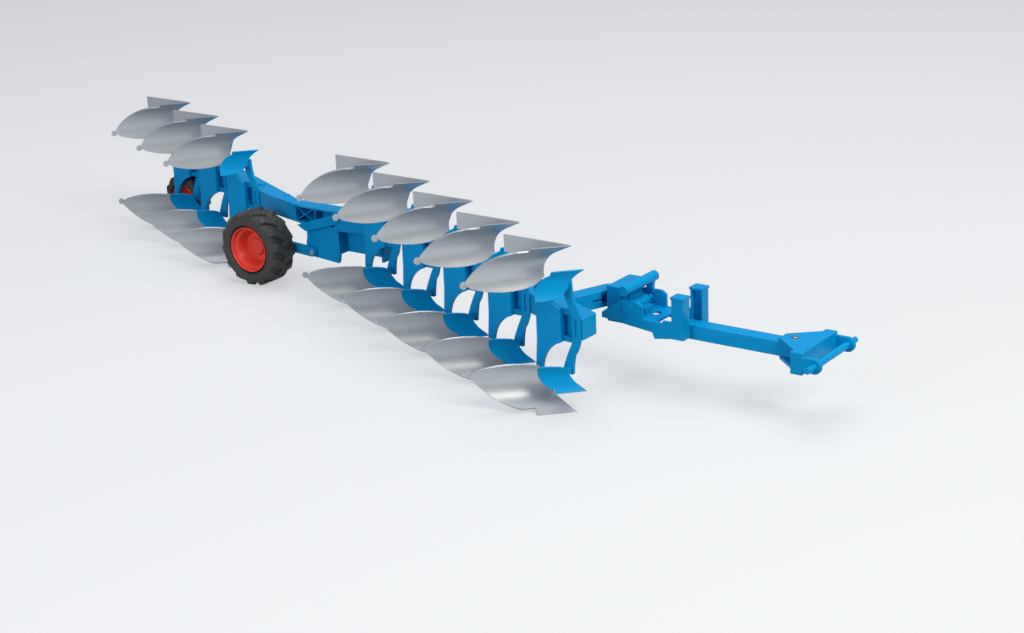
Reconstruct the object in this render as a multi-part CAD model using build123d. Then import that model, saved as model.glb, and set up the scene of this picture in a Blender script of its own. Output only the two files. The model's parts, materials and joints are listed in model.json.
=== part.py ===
from build123d import *
import os
from math import atan2, cos, degrees, hypot, radians, sin, tan

# Toy model, 1:16, of a semi-mounted reversible mouldboard plough with eight pairs of bodies.
# Lengths are millimetres. X points forward, Y to the left, Z up.
# The layout starts at the point of the first share, on the middle plane of the plough frame:
# the lower bodies are the mirror image of the upper ones in that plane.
# The files are written about the centre of the hitch shaft (see save).

# Plough layout
front_stations = 5
rear_stations = 3
body_pitch = 65.0            # from one share point to the next, along X
body_step = 30.3             # the same, sideways
rear_gap = 184.5             # from the last front body to the first rear one, along X
half_height = 62.0           # from the middle plane to the share points
axis_y = 78.4                # turnover axis, sideways from the first share point

# Main beam: a square tube that runs along the line of share points, with one straight jog
beam_side = 16.0
beam_front_x = 5.0           # front end of the beam
beam_front_y = 10.75         # centre of that end
beam_rear_over = 74.0        # how far the beam runs on behind the last share point
jog_y = 139.8                # centre line of the straight stretch beside the wheel
beam_wall = 1.6
beam_corner_rear = 33.0      # the near corner behind the wheel is cut off, from the jog to the rear
beam_corner_front = 19.0     # and to the front
stud_radius = 3.0            # round studs on top of the beam
stud_up = 0.8
pocket_rear = -381.0         # open pocket in the straight stretch, along X
pocket_front = -336.0
pocket_depth = 11.4
rib_wall = 1.4

# Mouldboards, shares and landsides
share_angle = 45.0           # of the share's edge to the direction of travel
share_slope = 33.0
share_length = 29.4          # along its edge
share_height = 4.0           # height of the seam between share and mouldboard
shin_run = -14.0             # where shares and boards are begun, ahead of the cut at the shin
knee_height = 6.0            # where the flat slope turns into the curve
shell = 1.3                  # wall of mouldboards and shares
board_top = 34.3             # highest point of the mouldboard's edge
board_run = 72.5             # from the share point to the tail, along the edge
board_heel = 10.0            # level stretch behind the share, before the lower edge rises
board_belly = 9.6            # height of the lower edge half way to the tail
crown_run = 49.0             # highest point of the upper edge
shoulder_run = 23.5          # where the upper edge turns down to the shin, and how far below the top
shoulder_down = 3.0
shin_corner = 16.0
shin_height = 26.0           # of the corner where the top edge meets the shin
front_curl = 17.5            # radius of the mouldboard's curve at the shin
tail_curl = 22.5             # and at the tail
lug_radius = 3.3             # round ear at the tail, and its height
lug_up = 28.0
landside_length = 59.3
landside_height = 13.0
landside_slope = 26.0        # how far back its upper edge reaches full height
landside_wall = 1.5

# Skimmers: small boards ahead of each body
skim_ahead = 7.6             # of the share point
skim_side = 1.7
skim_up = 17.0               # from the share point towards the middle plane
skim_shell = 1.2
skim_length = 31.4
skim_edge = 22.3             # straight part of its cutting edge
skim_top = 15.6
skim_shin = 6.2              # its lower front corner, where the top edge slopes down to
skim_curl = 15.0

# Legs and brackets
leg_wall = 4.0
leg_width = 20.6
leg_front = -14.2            # front edge, from the share point
leg_block = 12.7             # half height of the wide middle
neck_height = 36.0
neck_width = 5.2
neck_back = 22.2             # how far the neck's rear edge lies behind the leg's front edge
neck_bow = 4.6               # how deep the concave edge is cut, from its ends' line
frog_reach = 54.0            # from the middle plane to the end of the frog
frog_back = 14.0             # how far the frog reaches behind and ahead of the neck
frog_ahead = 8.0
bracket_half = 12.5          # half height of the bracket on the beam
bracket_front = -3.5         # from the share point
window_ahead = 0.3           # of the leg's front edge
window_width = 6.3
window_half = 8.0
stem_width = 6.5             # skimmer stems
stem_wall = 2.8
stem_shoulder = 8.5          # half height of a stem's straight top
stem_waist = 20.5            # where it is narrowest
stem_end = 35.0              # and of its whole reach
waist_back = 6.0             # how far its front edge lies behind the top's there
toe_back = 7.8               # the same at its lower end
stem_slot = 6.5              # half height of the slot in its near face
slot_width = 1.9
slot_deep = 1.0
slot_front = 3.3             # behind the stem's front edge

# Main wheel, its arm and the carrier under the beam
wheel_x = -410.5
wheel_radius = 33.0          # over the lugs
tyre_near = 101.0            # near side of the tyre, sideways
tyre_width = 28.5
rim_radius = 20.0
lug_height = 2.0
lug_count = 14               # on each side of the tread
lug_length = 18.0
lug_width = 4.2
lug_skew = 38.0
axle_radius = 3.0
hub_width = 6.0
hub_cap = 1.4                # closed near side of a rim's bore
hub_share = 0.36             # of the rim's radius
step_share = 0.8
floor_share = 0.62
pivot_x = -362.5
pivot_z = -31.8
pivot_radius = 2.4
boss_radius = 3.6
arm_gap = 0.7                # between tyre and arm
arm_wall = 3.6
arm_half = 4.2               # half height of the wheel arm
carrier_wall = 3.0
carrier_front = -335.5
carrier_drop = -39.0
carrier_belly = -334.8       # most forward point of its curved edge
carrier_top = -340.4
strap_wall = 1.8             # sloping strap on the beam's near face
strap_rear = -376.5
strap_front = -330.0
strap_high = 7.0
strap_low = -9.0
strap_width = 9.0
hanger_front = -285.0        # open box of the carrier
hanger_drop = -31.0
hanger_wall = 2.0

# Depth wheel under the rear end of the beam
depth_x = -606.0
depth_side = -3.36           # near face of its bracket, from the beam's centre line
depth_clear = 1.5            # between the tyre and the brackets above it
depth_width = 17.0
depth_rim = 14.0
depth_lug_count = 14
depth_lug_length = 10.0
depth_axle = 2.0
depth_gap = 0.9              # between tyre and bracket
depth_boss = 5.0
depth_wall = 3.6

# Turnover head, on the turnover axis
pin_x = -22.0                # swing pin
pin_radius = 2.4
hub_half = 7.0               # half width of the arm that carries the frame
swing_half = 6.2             # and its half height
swing_sink = 1.2             # how deep the pin's ends lie in it
swing_back = 17.5            # the arm's direction to the beam, behind and beside the pin
swing_beside = 42.0
arm_slit = 0.7               # half height of the slit behind its ears, and its reach
slit_reach = 20.5
arm_reach = 41.0             # from the swing pin to the beam
tongue_half = 3.0            # half height of the tongue between the arm's ears
ear_depth = 13.0             # how far the arm is forked beside the pin
tongue_side = 6.5
bearing_back = -14.0         # rear and front face of the bearing block
bearing_front = -2.0
head_half = 15.5             # half width of the head
head_top = 12.5
head_low = -14.5
shaft_radius = 5.0
collar = 1.2                 # how far the shaft's collar stands out
collar_wall = 1.0
cylinder_radius = 3.9
rod_radius = 2.0
cylinder_x = 4.6
cylinder_high = 13.0
cylinder_low = -1.5
upper_near = 23.0            # how far the upper barrel reaches to the right of the axis, and to its left
upper_barrel = 21.3
lower_near = 18.7            # the same of the lower barrel
lower_barrel = 7.7
rod_reach = 22.5
saddle_high = 4.4            # depth of the ledges that carry the barrels
step_front = 13.6            # front face of the step before the lower barrel
step_right = 7.5             # its reach to both sides of the axis
step_left = 3.6
step_drop = 1.3              # of its top, below the lower barrel's centre
link_half = 2.6
link_width = 3.2
link_bow = 4.6               # how far the link bows in between the cylinders

# Yoke
yoke_front = 52.0            # front of the capped posts
post_length = 10.0
post_top = 11.5
post_low = -18.6
cap_wall = 1.8
cap_over = 0.6
cheek_wall = 2.4
cheek_drop = -20.9           # lowest point of the cheeks, and the point along X
cheek_low_x = 27.7
cheek_back = -17.5           # their rear end, and its upper and lower corners
cheek_back_top = -7.6
cheek_back_low = -11.6
cheek_top = 4.0
cheek_step_x = 17.5          # where their top drops to the plate
cheek_step = 1.5
shelf_x = 34.5               # step between plate and posts
shelf_top = -6.0
plate_top = -8.0
plate_wall = 1.5
plate_front = 28.6
plate_hole_x = 18.6
plate_hole = 4.0
ring_wall = 1.0              # raised ring round the hole
ring_up = 0.4
yoke_pin_x = 36.0
yoke_pin_radius = 2.0
pin_cover = 0.9              # wall that closes its holes in the cheeks
groove_deep = 3.0            # of the channels in the posts
groove_wall = 1.8
post_gap = 2.6               # between drawbar and posts

# Drawbar and headstock
bar_width = 12.5
bar_top = -10.0
bar_height = 10.5
peg_radius = 2.2
steer_x = 132.0
steer_radius = 2.4
fork_wall = 2.4
fork_tip = 10.0              # how far the fork plates reach behind the steering pin, and their half width there
fork_half = 5.0
cross_back = 10.0            # from the steering pin to the cross beam
cross_depth = 9.0
hitch_x = 160.0
hitch_half = 37.0            # half length of the hitch shaft
hitch_radius = 2.6           # between and in its ears
link_radius = 2.2            # of its free ends
ear_side = 24.0              # inner face of its ears, from the middle
ear_wall = 3.0
ear_radius = 5.5

# Clearances
run_gap = 0.05               # shaft in its hole, on the radius
play = 0.4                   # between faces that move past each other
seat = 0.02                  # between faces that rest on each other
reach_over = 400.0           # cutters reach past the whole plough

# Worked out from the sizes above
SLOPE = atan2(body_step, body_pitch)
THETA = radians(share_angle)
bar_z = bar_top - bar_height / 2
half = beam_side / 2
arm_y = tyre_near + tyre_width + arm_gap
carrier_y = arm_y + arm_wall + play
wheel_z = wheel_radius - half_height
depth_radius = (half_height - bracket_half - depth_clear) / 2
depth_z = depth_radius - half_height
nodes = {}

os.makedirs("parts", exist_ok=True)


def save(name, shape):
    """Write one piece about the centre of the hitch shaft."""
    moved = shape.moved(Location((-hitch_x, -axis_y, -bar_z)))
    nodes[name] = moved
    export_step(moved, f"parts/{name}.step")


def box(x0, x1, y0, y1, z0, z1):
    """A block given by its two corners."""
    return Pos((x0 + x1) / 2, (y0 + y1) / 2, (z0 + z1) / 2) * Box(x1 - x0, y1 - y0, z1 - z0)


def rod_x(x0, x1, y, z, r):
    return Pos((x0 + x1) / 2, y, z) * Rot(0, 90, 0) * Cylinder(r, x1 - x0)


def rod_y(x, y0, y1, z, r):
    return Pos(x, (y0 + y1) / 2, z) * Rot(90, 0, 0) * Cylinder(r, y1 - y0)


def rod_z(x, y, z0, z1, r):
    return Pos(x, y, (z0 + z1) / 2) * Cylinder(r, z1 - z0)


def plan(points, z0, z1):
    """A flat outline in X and Y, raised from z0 to z1."""
    return Pos(0, 0, z0) * extrude(make_face(Polyline(*points, close=True)), z1 - z0)


def side(points, y0, y1):
    """A flat outline in X and Z, spread from y0 to y1."""
    face = make_face(Polyline(*points, close=True))
    return Pos(0, y1, 0) * Rot(90, 0, 0) * extrude(face, y1 - y0)


def flipped(shape):
    """Mirror image in the middle plane."""
    return shape.mirror(Plane.XY)


def placed(shape, tip, down):
    """Bring a piece drawn at its share point to its station and level."""
    return Pos(tip[0], tip[1], -down) * shape


def station_tip(i):
    """Plan position of share point i, counted from the front."""
    gap = rear_gap - body_pitch if i >= front_stations else 0.0
    return -i * body_pitch - gap, i * body_step


stations = [station_tip(i) for i in range(front_stations + rear_stations)]


# Main beam
def line_x(tip, y):
    """Where the beam's centre line at one row of bodies reaches y."""
    return tip[0] + beam_front_x - (y - tip[1] - beam_front_y) / tan(SLOPE)


jog_front = line_x(stations[0], jog_y)
jog_rear = line_x(stations[front_stations], jog_y)
rear_x = stations[-1][0] - beam_rear_over
fork_y = jog_y + (jog_rear - depth_x) * tan(SLOPE) + depth_side
depth_near = fork_y - depth_gap - depth_width


def beam_edge(offset, front_x):
    """Corners of a line beside the beam's centre line; a positive offset lies to the left."""
    shift = offset * tan(SLOPE / 2)
    wide = offset / cos(SLOPE)
    front_y = jog_y - (front_x - jog_front) * tan(SLOPE) + wide
    rear_y = jog_y + (jog_rear - rear_x) * tan(SLOPE) + wide
    return [(front_x, front_y), (jog_front + shift, jog_y + offset), (jog_rear + shift, jog_y + offset),
            (rear_x, rear_y)]


near_edge, far_edge = beam_edge(-half, beam_front_x), beam_edge(half, beam_front_x)
runs = []
for k in range(3):
    runs.append(plan([near_edge[k], near_edge[k + 1], far_edge[k + 1], far_edge[k]], -half, half))
front_beam, mid_beam, rear_beam = runs

space_front = beam_front_x + 2 * half
beam_space = plan(beam_edge(-half - seat, space_front) + [(rear_x, axis_y + reach_over),
                                                          (space_front, axis_y + reach_over)],
                  -half_height, half_height)
near_face = jog_y - half
pocket = box(pocket_rear, pocket_front, near_face - 1, near_face + pocket_depth, -half + beam_wall, half - beam_wall)
pocket_middle = (pocket_rear + pocket_front) / 2
rib = box(pocket_middle - rib_wall / 2, pocket_middle + rib_wall / 2, near_face + 2, near_face + pocket_depth,
          -half + beam_wall, half - beam_wall)
corner_x = jog_rear - beam_corner_rear
corner_y = jog_y + beam_corner_rear * tan(SLOPE) - half / cos(SLOPE)
corner = plan([(corner_x, corner_y), (jog_rear + beam_corner_front, near_face),
               (jog_rear + beam_corner_front, near_face - beam_side), (corner_x, near_face - beam_side)],
              -beam_side, beam_side)
studs = [(-451.8, 169.9), (-406.0, 152.0)]
rear_beam -= corner
for x, y in studs:
    rear_beam += rod_z(x, y, half, half + stud_up, stud_radius)
save("front_beam", front_beam)
save("mid_beam", mid_beam - pocket + rib - corner)
save("rear_beam", rear_beam)


# Mouldboards
def board_profile(curl, wall, top):
    """Section of the shell: a straight share, then an arc that leans forward at its top."""
    slope = radians(share_slope)
    knee = Vector(knee_height / tan(slope), knee_height)
    centre = knee + Vector(-sin(slope), cos(slope)) * curl

    def on_arc(height, radius):
        up = height - centre.Y
        return Vector(centre.X + (radius ** 2 - up ** 2) ** 0.5, height)

    outer_knee = knee + Vector(sin(slope), -cos(slope)) * wall
    inner_end, outer_end = on_arc(top, curl), on_arc(top, curl + wall)
    inner_mid, outer_mid = on_arc(top / 2, curl), on_arc(top / 2, curl + wall)
    lines = [
        Line((0, 0), knee),
        ThreePointArc(knee, inner_mid, inner_end),
        Line(inner_end, outer_end),
        ThreePointArc(outer_end, outer_mid, outer_knee),
        Line(outer_knee, (wall / sin(slope), 0)),
        Line((wall / sin(slope), 0), (0, 0)),
    ]
    return make_face(Curve() + lines)


def ruled_shell(run, curl_0, curl_1, wall, top):
    """Shell between two sections square to the share's edge, from its point to its tail."""
    back = Vector(-sin(THETA), cos(THETA), 0)
    along = Vector(-cos(THETA), -sin(THETA), 0)
    sections = []
    for s, curl in ((shin_run, curl_0), (run, curl_1)):
        plane = Plane(origin=along * s, x_dir=back, z_dir=along * -1)
        sections.append(plane * board_profile(curl, wall, top))
    return loft(sections, ruled=True)


def across(outline, depth):
    """An outline in the plane of the share's edge and Z, spread both ways across it."""
    plane = Plane(origin=(0, 0, 0), x_dir=(-cos(THETA), -sin(THETA), 0), z_dir=(-sin(THETA), cos(THETA), 0))
    return extrude(plane * outline, depth, both=True)


def board_outline():
    """Edge of a mouldboard above its share, in run along the share's edge and height."""
    tail = (board_run, lug_up - lug_radius / 2)
    heel = (share_length + board_heel, share_height)
    belly = ((heel[0] + board_run) / 2 + lug_radius, board_belly)
    shoulder = (shoulder_run, board_top - shoulder_down)
    crown_end = (board_run - lug_radius, lug_up + lug_radius / 2)
    lines = [
        Line((shin_run, share_height), heel),
        ThreePointArc(heel, belly, tail),
        Line(tail, crown_end),
        ThreePointArc(crown_end, (crown_run, board_top), shoulder),
        Line(shoulder, (shin_corner, shin_height)),
        Line((shin_corner, shin_height), (shin_run, shin_height)),
        Line((shin_run, shin_height), (shin_run, share_height)),
    ]
    lug = Pos(board_run + lug_radius / 2, lug_up) * Circle(lug_radius)
    return make_face(Curve() + lines) + lug


def lower_board():
    """Mouldboard and share of one body, both cut off at the shin."""
    whole = ruled_shell(board_run + 2 * lug_radius, front_curl, tail_curl, shell, board_top + shell)
    right = box(-board_run - half_height, half_height, -half_height - board_run, 0, -half_height, half_height)
    share_face = make_face(Polyline((shin_run, 0), (share_length, 0), (share_length, share_height - seat),
                                    (shin_run, share_height - seat), close=True))
    board_piece = whole & across(board_outline(), half_height) & right
    return board_piece, whole & across(share_face, half_height) & right


def lower_landside():
    outline = [(-3.0, 0), (-landside_length, 0), (-landside_length, landside_height),
               (-landside_slope, landside_height)]
    return side(outline, seat, landside_wall)


board, share = lower_board()
landside = lower_landside()
for level, turn in (("lower", lambda shape: shape), ("upper", flipped)):
    shares, landsides = [], []
    for number, tip in enumerate(stations, 1):
        save(f"{level}_mouldboard_{number}", turn(placed(board, tip, half_height)))
        shares.append(turn(placed(share, tip, half_height)))
        landsides.append(turn(placed(landside, tip, half_height)))
    save(f"{level}_shares", Compound(children=shares))
    save(f"{level}_landsides", Compound(children=landsides))

# Legs, brackets and skimmers
leg_y = landside_wall + seat
bracket_y = leg_y + leg_wall + seat
leg_rear = leg_front - leg_width


def leg():
    """Plate from frog to frog, wide at the beam, with concave front edges."""
    neck_rear = leg_front - neck_back
    neck_front = neck_rear + neck_width
    start, end = Vector(neck_front, neck_height), Vector(leg_front, leg_block)
    chord = (end - start).normalized()
    bow = (start + end) / 2 - Vector(-chord.Y, chord.X) * neck_bow
    outline = [
        Line((leg_rear, 0), (leg_rear, leg_block)),
        Line((leg_rear, leg_block), (neck_rear, neck_height)),
        Line((neck_rear, neck_height), (neck_rear - frog_back, frog_reach)),
        Line((neck_rear - frog_back, frog_reach), (neck_front + frog_ahead, frog_reach)),
        Line((neck_front + frog_ahead, frog_reach), (neck_front, neck_height)),
        ThreePointArc(start, bow, end),
        Line((leg_front, leg_block), (leg_front, 0)),
        Line((leg_front, 0), (leg_rear, 0)),
    ]
    plate = Pos(0, leg_y + leg_wall, 0) * Rot(90, 0, 0) * extrude(make_face(Curve() + outline), leg_wall)
    return plate + flipped(plate)


def bracket():
    """Wedge between the leg and the beam, with a window; its far side is cut to the beam later."""
    deep = leg_y + leg_wall + beam_side
    body = box(leg_rear, bracket_front, bracket_y, deep, -bracket_half, bracket_half)
    window_rear = leg_front + window_ahead
    window = box(window_rear, window_rear + window_width, bracket_y - 1, deep + 1, -window_half, window_half)
    return body - window


def stem():
    """Stem from the beam's near face down to the skimmer: straight, then back, then straight again."""
    rear = bracket_front + play
    front = rear + stem_width
    waist, toe = front - waist_back, front - toe_back
    turn_z = -(stem_shoulder + stem_waist) / 2
    lines = [
        Line((rear, 0), (front, 0)),
        Line((front, 0), (front, -stem_shoulder)),
        ThreePointArc((front, -stem_shoulder), (front - waist_back * 0.4, turn_z), (waist, -stem_waist)),
        ThreePointArc((waist, -stem_waist), (toe + 0.5, -(stem_waist + stem_end) / 2), (toe, -stem_end)),
        Line((toe, -stem_end), (toe - stem_width - stem_wall, -stem_end)),
        ThreePointArc((toe - stem_width - stem_wall, -stem_end), (waist - stem_width + 0.5, -stem_waist),
                      (rear, -stem_shoulder)),
        Line((rear, -stem_shoulder), (rear, 0)),
    ]
    slot = box(front - slot_front - slot_width, front - slot_front, skim_side, skim_side + slot_deep, -stem_slot, 0)
    plate = Pos(0, skim_side + stem_wall, 0) * Rot(90, 0, 0) * extrude(make_face(Curve() + lines), stem_wall)
    return plate - slot


def lower_skimmer():
    """Small board with a straight edge, a notch behind it, a round tail and a top edge that falls to its shin."""
    whole = ruled_shell(skim_length + skim_top, skim_curl, skim_curl, skim_shell, skim_top + skim_shell)
    notch = skim_shell * 2
    tail_up = skim_top - 1.0
    shoulder = skim_length - 13.0
    lines = [
        Line((shin_run, 0), (skim_edge, 0)),
        Line((skim_edge, 0), (skim_edge, notch)),
        ThreePointArc((skim_edge, notch), (skim_length - 2.6, 5.6), (skim_length, tail_up)),
        Line((skim_length, tail_up), (shoulder, skim_top)),
        Line((shoulder, skim_top), (skim_shin + 2.0, skim_top - 6.5)),
        Line((skim_shin + 2.0, skim_top - 6.5), (shin_run, skim_top - 6.5)),
        Line((shin_run, skim_top - 6.5), (shin_run, 0)),
    ]
    right = box(-half_height, half_height, -half_height, 0, -half_height, half_height)
    return whole & across(make_face(Curve() + lines), half_height) & right


one_leg = leg()
one_bracket = bracket()
blade = Pos(skim_ahead, skim_side, skim_up - half_height) * lower_skimmer()
half_skimmer = stem() + blade
one_skimmer = half_skimmer + flipped(half_skimmer)
brackets = []
for number, tip in enumerate(stations, 1):
    save(f"leg_{number}", placed(one_leg, tip, 0))
    save(f"skimmer_{number}", placed(one_skimmer, tip, 0) - beam_space)
    brackets.append(placed(one_bracket, tip, 0) - beam_space)
save("brackets", Compound(children=brackets))

# Arm from the front of the beam to the swing pin
reach = Vector(-swing_back, -swing_beside).normalized()
normal = Vector(-reach.Y, reach.X)
pin = Vector(pin_x, axis_y)
foot = pin + reach * arm_reach
swing_arm = plan([(p.X, p.Y) for p in (pin + normal * hub_half, foot + normal * hub_half,
                                       foot - normal * hub_half, pin - normal * hub_half)],
                 -swing_half, swing_half)
swing_arm += rod_z(pin_x, axis_y, -swing_half, swing_half, hub_half)
beam_front_side = plan(beam_edge(half + seat, beam_front_x)[:2] + near_edge[1::-1], -half - 1, half + 1)
swing_arm -= beam_front_side
fork_x = hub_half + 1
tongue_space = tongue_half + play
swing_arm -= box(pin_x - fork_x, pin_x + fork_x, axis_y - ear_depth, axis_y + fork_x, -tongue_space, tongue_space)
swing_arm -= box(pin_x - 2 * hub_half, pin_x + fork_x, axis_y - slit_reach, axis_y - ear_depth, -arm_slit, arm_slit)
swing_arm -= rod_z(pin_x, axis_y, -swing_half - 1, swing_half + 1, pin_radius + seat)
save("swing_arm", swing_arm)
pin_end = swing_half - swing_sink
save("swing_pin", rod_z(pin_x, axis_y, -pin_end, pin_end, pin_radius))

# Hub that turns in the bearing block and holds the swing pin
hub_front = bearing_back - play
hub = box(pin_x, hub_front, axis_y - tongue_side, axis_y + tongue_side, -tongue_half, tongue_half)
hub += rod_z(pin_x, axis_y, -tongue_half, tongue_half, tongue_side)
hub += rod_x(hub_front - play, bearing_front + play + collar_wall, axis_y, 0, shaft_radius)
hub += rod_x(bearing_front + play, bearing_front + play + collar_wall, axis_y, 0, shaft_radius + collar)
hub -= rod_z(pin_x, axis_y, -2 * half, 2 * half, pin_radius + run_gap)
save("turnover_shaft", hub)

# Cylinders across the head, tied by a link at their far ends
# columns: height, reach of the barrel to the right and to the left
cylinders = ((cylinder_high, upper_near, upper_barrel), (cylinder_low, lower_near, lower_barrel))
rams, ram_space = [], []
for z, near, barrel in cylinders:
    ram = rod_y(cylinder_x, axis_y - near, axis_y + barrel, z, cylinder_radius)
    rams.append(ram + rod_y(cylinder_x, axis_y + barrel, axis_y + rod_reach, z, rod_radius))
    space = rod_y(cylinder_x, axis_y - near - 1, axis_y + barrel + play, z, cylinder_radius + seat)
    ram_space.append(space + rod_y(cylinder_x, axis_y + barrel, axis_y + rod_reach + 1, z, rod_radius + seat))
save("cylinders", Compound(children=rams))
link_y = axis_y + upper_barrel - link_width
link_middle = (cylinder_high + cylinder_low) / 2
link_lines = [
    ThreePointArc((link_y, cylinder_high), (link_y - link_bow, link_middle), (link_y, cylinder_low)),
    Line((link_y, cylinder_low), (link_y + link_width, cylinder_low)),
    ThreePointArc((link_y + link_width, cylinder_low), (link_y + link_width - link_bow, link_middle),
                  (link_y + link_width, cylinder_high)),
    Line((link_y + link_width, cylinder_high), (link_y, cylinder_high)),
]
link_plane = Plane(origin=(cylinder_x, 0, 0), x_dir=(0, 1, 0), z_dir=(1, 0, 0))
link = extrude(link_plane * make_face(Curve() + link_lines), link_half, both=True)
save("cylinder_link", link - ram_space)
link_space = box(cylinder_x - link_half - seat, cylinder_x + link_half + seat, link_y - link_bow - seat,
                 link_y + link_width + 1, cylinder_low - seat, cylinder_high)

# Bearing block with ledges for the two cylinders and a step before the lower one
block = box(bearing_back, bearing_front, axis_y - head_half, axis_y + head_half, head_low, head_top)
for z, near, barrel in cylinders:
    block += box(bearing_front, cylinder_x, axis_y - head_half, axis_y + head_half, z - saddle_high, z - seat)
block += box(bearing_front, step_front, axis_y - step_right, axis_y + step_left, plate_top + seat,
             cylinder_low - step_drop)
block -= ram_space
block -= link_space
collar_end = bearing_front + play + collar_wall
block -= rod_x(bearing_front, collar_end + play, axis_y, 0, shaft_radius + collar + play)
block -= rod_x(bearing_back - 1, bearing_front + 1, axis_y, 0, shaft_radius + run_gap)
save("bearing_block", block)

# Yoke: two cheeks with capped posts, joined by a plate; the posts' channels guide the drawbar's pegs
post_rear = yoke_front - post_length
post_inner = bar_width / 2 + post_gap
outer = head_half + cheek_wall


def yoke_side(sign):
    """One cheek with its post; sign is -1 on the right and 1 on the left."""
    def across_y(near, far):
        return sorted((axis_y + sign * near, axis_y + sign * far))
    cheek = side([(cheek_back, cheek_back_low), (cheek_low_x - 2, (cheek_back_low + cheek_drop) / 2),
                  (cheek_low_x, cheek_drop), (post_rear, post_low), (post_rear, shelf_top), (shelf_x, shelf_top),
                  (shelf_x, plate_top), (cheek_step_x, plate_top), (cheek_step_x, cheek_step),
                  (step_front, cheek_top), (bearing_front, cheek_top), (cheek_back, cheek_back_top)],
                 *across_y(head_half + seat, outer))
    post = box(post_rear, yoke_front, *across_y(post_inner, outer), post_low, post_top)
    groove = box(post_rear + groove_wall, yoke_front - groove_wall,
                 *across_y(post_inner - 1, post_inner + groove_deep), bar_z - peg_radius - seat, post_top - play)
    cap = box(post_rear - cap_over, yoke_front + cap_over, *across_y(post_inner - cap_over, outer + cap_over),
              post_top, post_top + cap_wall)
    return cheek + post - groove + cap


yoke = yoke_side(-1) + yoke_side(1)
yoke += box(bearing_front + seat, plate_front, axis_y - outer, axis_y + outer, plate_top - plate_wall, plate_top)
yoke += rod_z(plate_hole_x, axis_y, plate_top - plate_wall, plate_top + ring_up, plate_hole + ring_wall)
yoke -= rod_z(plate_hole_x, axis_y, plate_top - plate_wall - 1, plate_top + 1, plate_hole)
yoke -= ram_space
yoke -= link_space
pin_reach = outer - pin_cover
yoke -= rod_y(yoke_pin_x, axis_y - pin_reach, axis_y + pin_reach, bar_z, yoke_pin_radius + seat)
save("yoke", yoke)
pin_reach -= seat
save("yoke_pin", rod_y(yoke_pin_x, axis_y - pin_reach, axis_y + pin_reach, bar_z, yoke_pin_radius))

# Drawbar
bar_low = bar_top - bar_height
bar = box(yoke_pin_x, steer_x, axis_y - bar_width / 2, axis_y + bar_width / 2, bar_low, bar_top)
bar += rod_y(yoke_pin_x, axis_y - head_half + play, axis_y + head_half - play, bar_z, bar_height / 2)
bar += rod_z(steer_x, axis_y, bar_low, bar_top, bar_width / 2)
peg_x = yoke_front - post_length / 2
peg_reach = post_inner + groove_deep - play
bar += rod_y(peg_x, axis_y - peg_reach, axis_y + peg_reach, bar_z, peg_radius)
bar -= rod_y(yoke_pin_x, axis_y - 2 * outer, axis_y + 2 * outer, bar_z, yoke_pin_radius + run_gap)
bar -= rod_z(steer_x, axis_y, bar_low - 1, bar_top + 1, steer_radius + run_gap)
save("drawbar", bar)

# Headstock: fork plates, cross beam, ears and hitch shaft
cross_x = steer_x + cross_back
cross_front = cross_x + cross_depth
fork_high = bar_top + play
fork_low = bar_low - play
fork_side = cross_x + fork_wall
fork_plate = [(steer_x - fork_tip, axis_y - fork_half), (fork_side, axis_y - ear_side),
              (cross_front, axis_y - ear_side), (cross_front, axis_y + ear_side), (fork_side, axis_y + ear_side),
              (steer_x - fork_tip, axis_y + fork_half)]
headstock = plan(fork_plate, fork_high, fork_high + fork_wall) + plan(fork_plate, fork_low - fork_wall, fork_low)
headstock += box(cross_x, cross_front, axis_y - ear_side - ear_wall, axis_y + ear_side + ear_wall,
                 fork_low - fork_wall, fork_high + fork_wall)
for sign in (-1, 1):
    y0, y1 = sorted((axis_y + sign * ear_side, axis_y + sign * (ear_side + ear_wall)))
    headstock += box(cross_front - 1, hitch_x, y0, y1, bar_z - ear_radius, bar_z + ear_radius)
    headstock += rod_y(hitch_x, y0, y1, bar_z, ear_radius)
headstock -= rod_y(hitch_x, axis_y - hitch_half, axis_y + hitch_half, bar_z, hitch_radius + seat)
headstock -= rod_z(steer_x, axis_y, -half_height, half_height, steer_radius + seat)
save("headstock", headstock)
save("steering_pin", rod_z(steer_x, axis_y, fork_low - fork_wall - 1, fork_high + fork_wall + 1, steer_radius))
ear_outer = ear_side + ear_wall
hitch_shaft = rod_y(hitch_x, axis_y - ear_outer, axis_y + ear_outer, bar_z, hitch_radius)
save("hitch_shaft", hitch_shaft + rod_y(hitch_x, axis_y - hitch_half, axis_y + hitch_half, bar_z, link_radius))


# Wheels
def turned(points):
    """Revolve a section given as (radius, sideways) about the Y axis."""
    return revolve(make_face(Polyline(*points, close=True)), Axis.Y)


def tyre(near, width, radius, bore, lugs, length):
    """Carcass with two rows of slanting lugs that meet as arrows, on an axle along Y."""
    crown = radius - lug_height
    far = near + width
    carcass = turned([(bore, near + 1.5), (bore + 3, near), (crown - 5, near), (crown, near + 4),
                      (crown, far - 4), (crown - 5, far), (bore + 3, far), (bore, far - 1.5)])
    bars = []
    for row in (-1, 1):
        for k in range(lugs):
            lug = Rot(0, 0, row * lug_skew) * Box(lug_width, length, 2 * lug_height)
            lug = Pos(0, near + width / 2 + row * width / 4, crown) * lug
            bars.append(Rot(0, 360 / lugs * (k + row / 4), 0) * lug)
    tread = turned([(crown - 3, near), (crown - 3, far), (radius - 1, far), (radius, far - 4), (radius, near + 4),
                    (radius - 1, near)])
    return carcass + [bar & tread for bar in bars]


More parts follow.
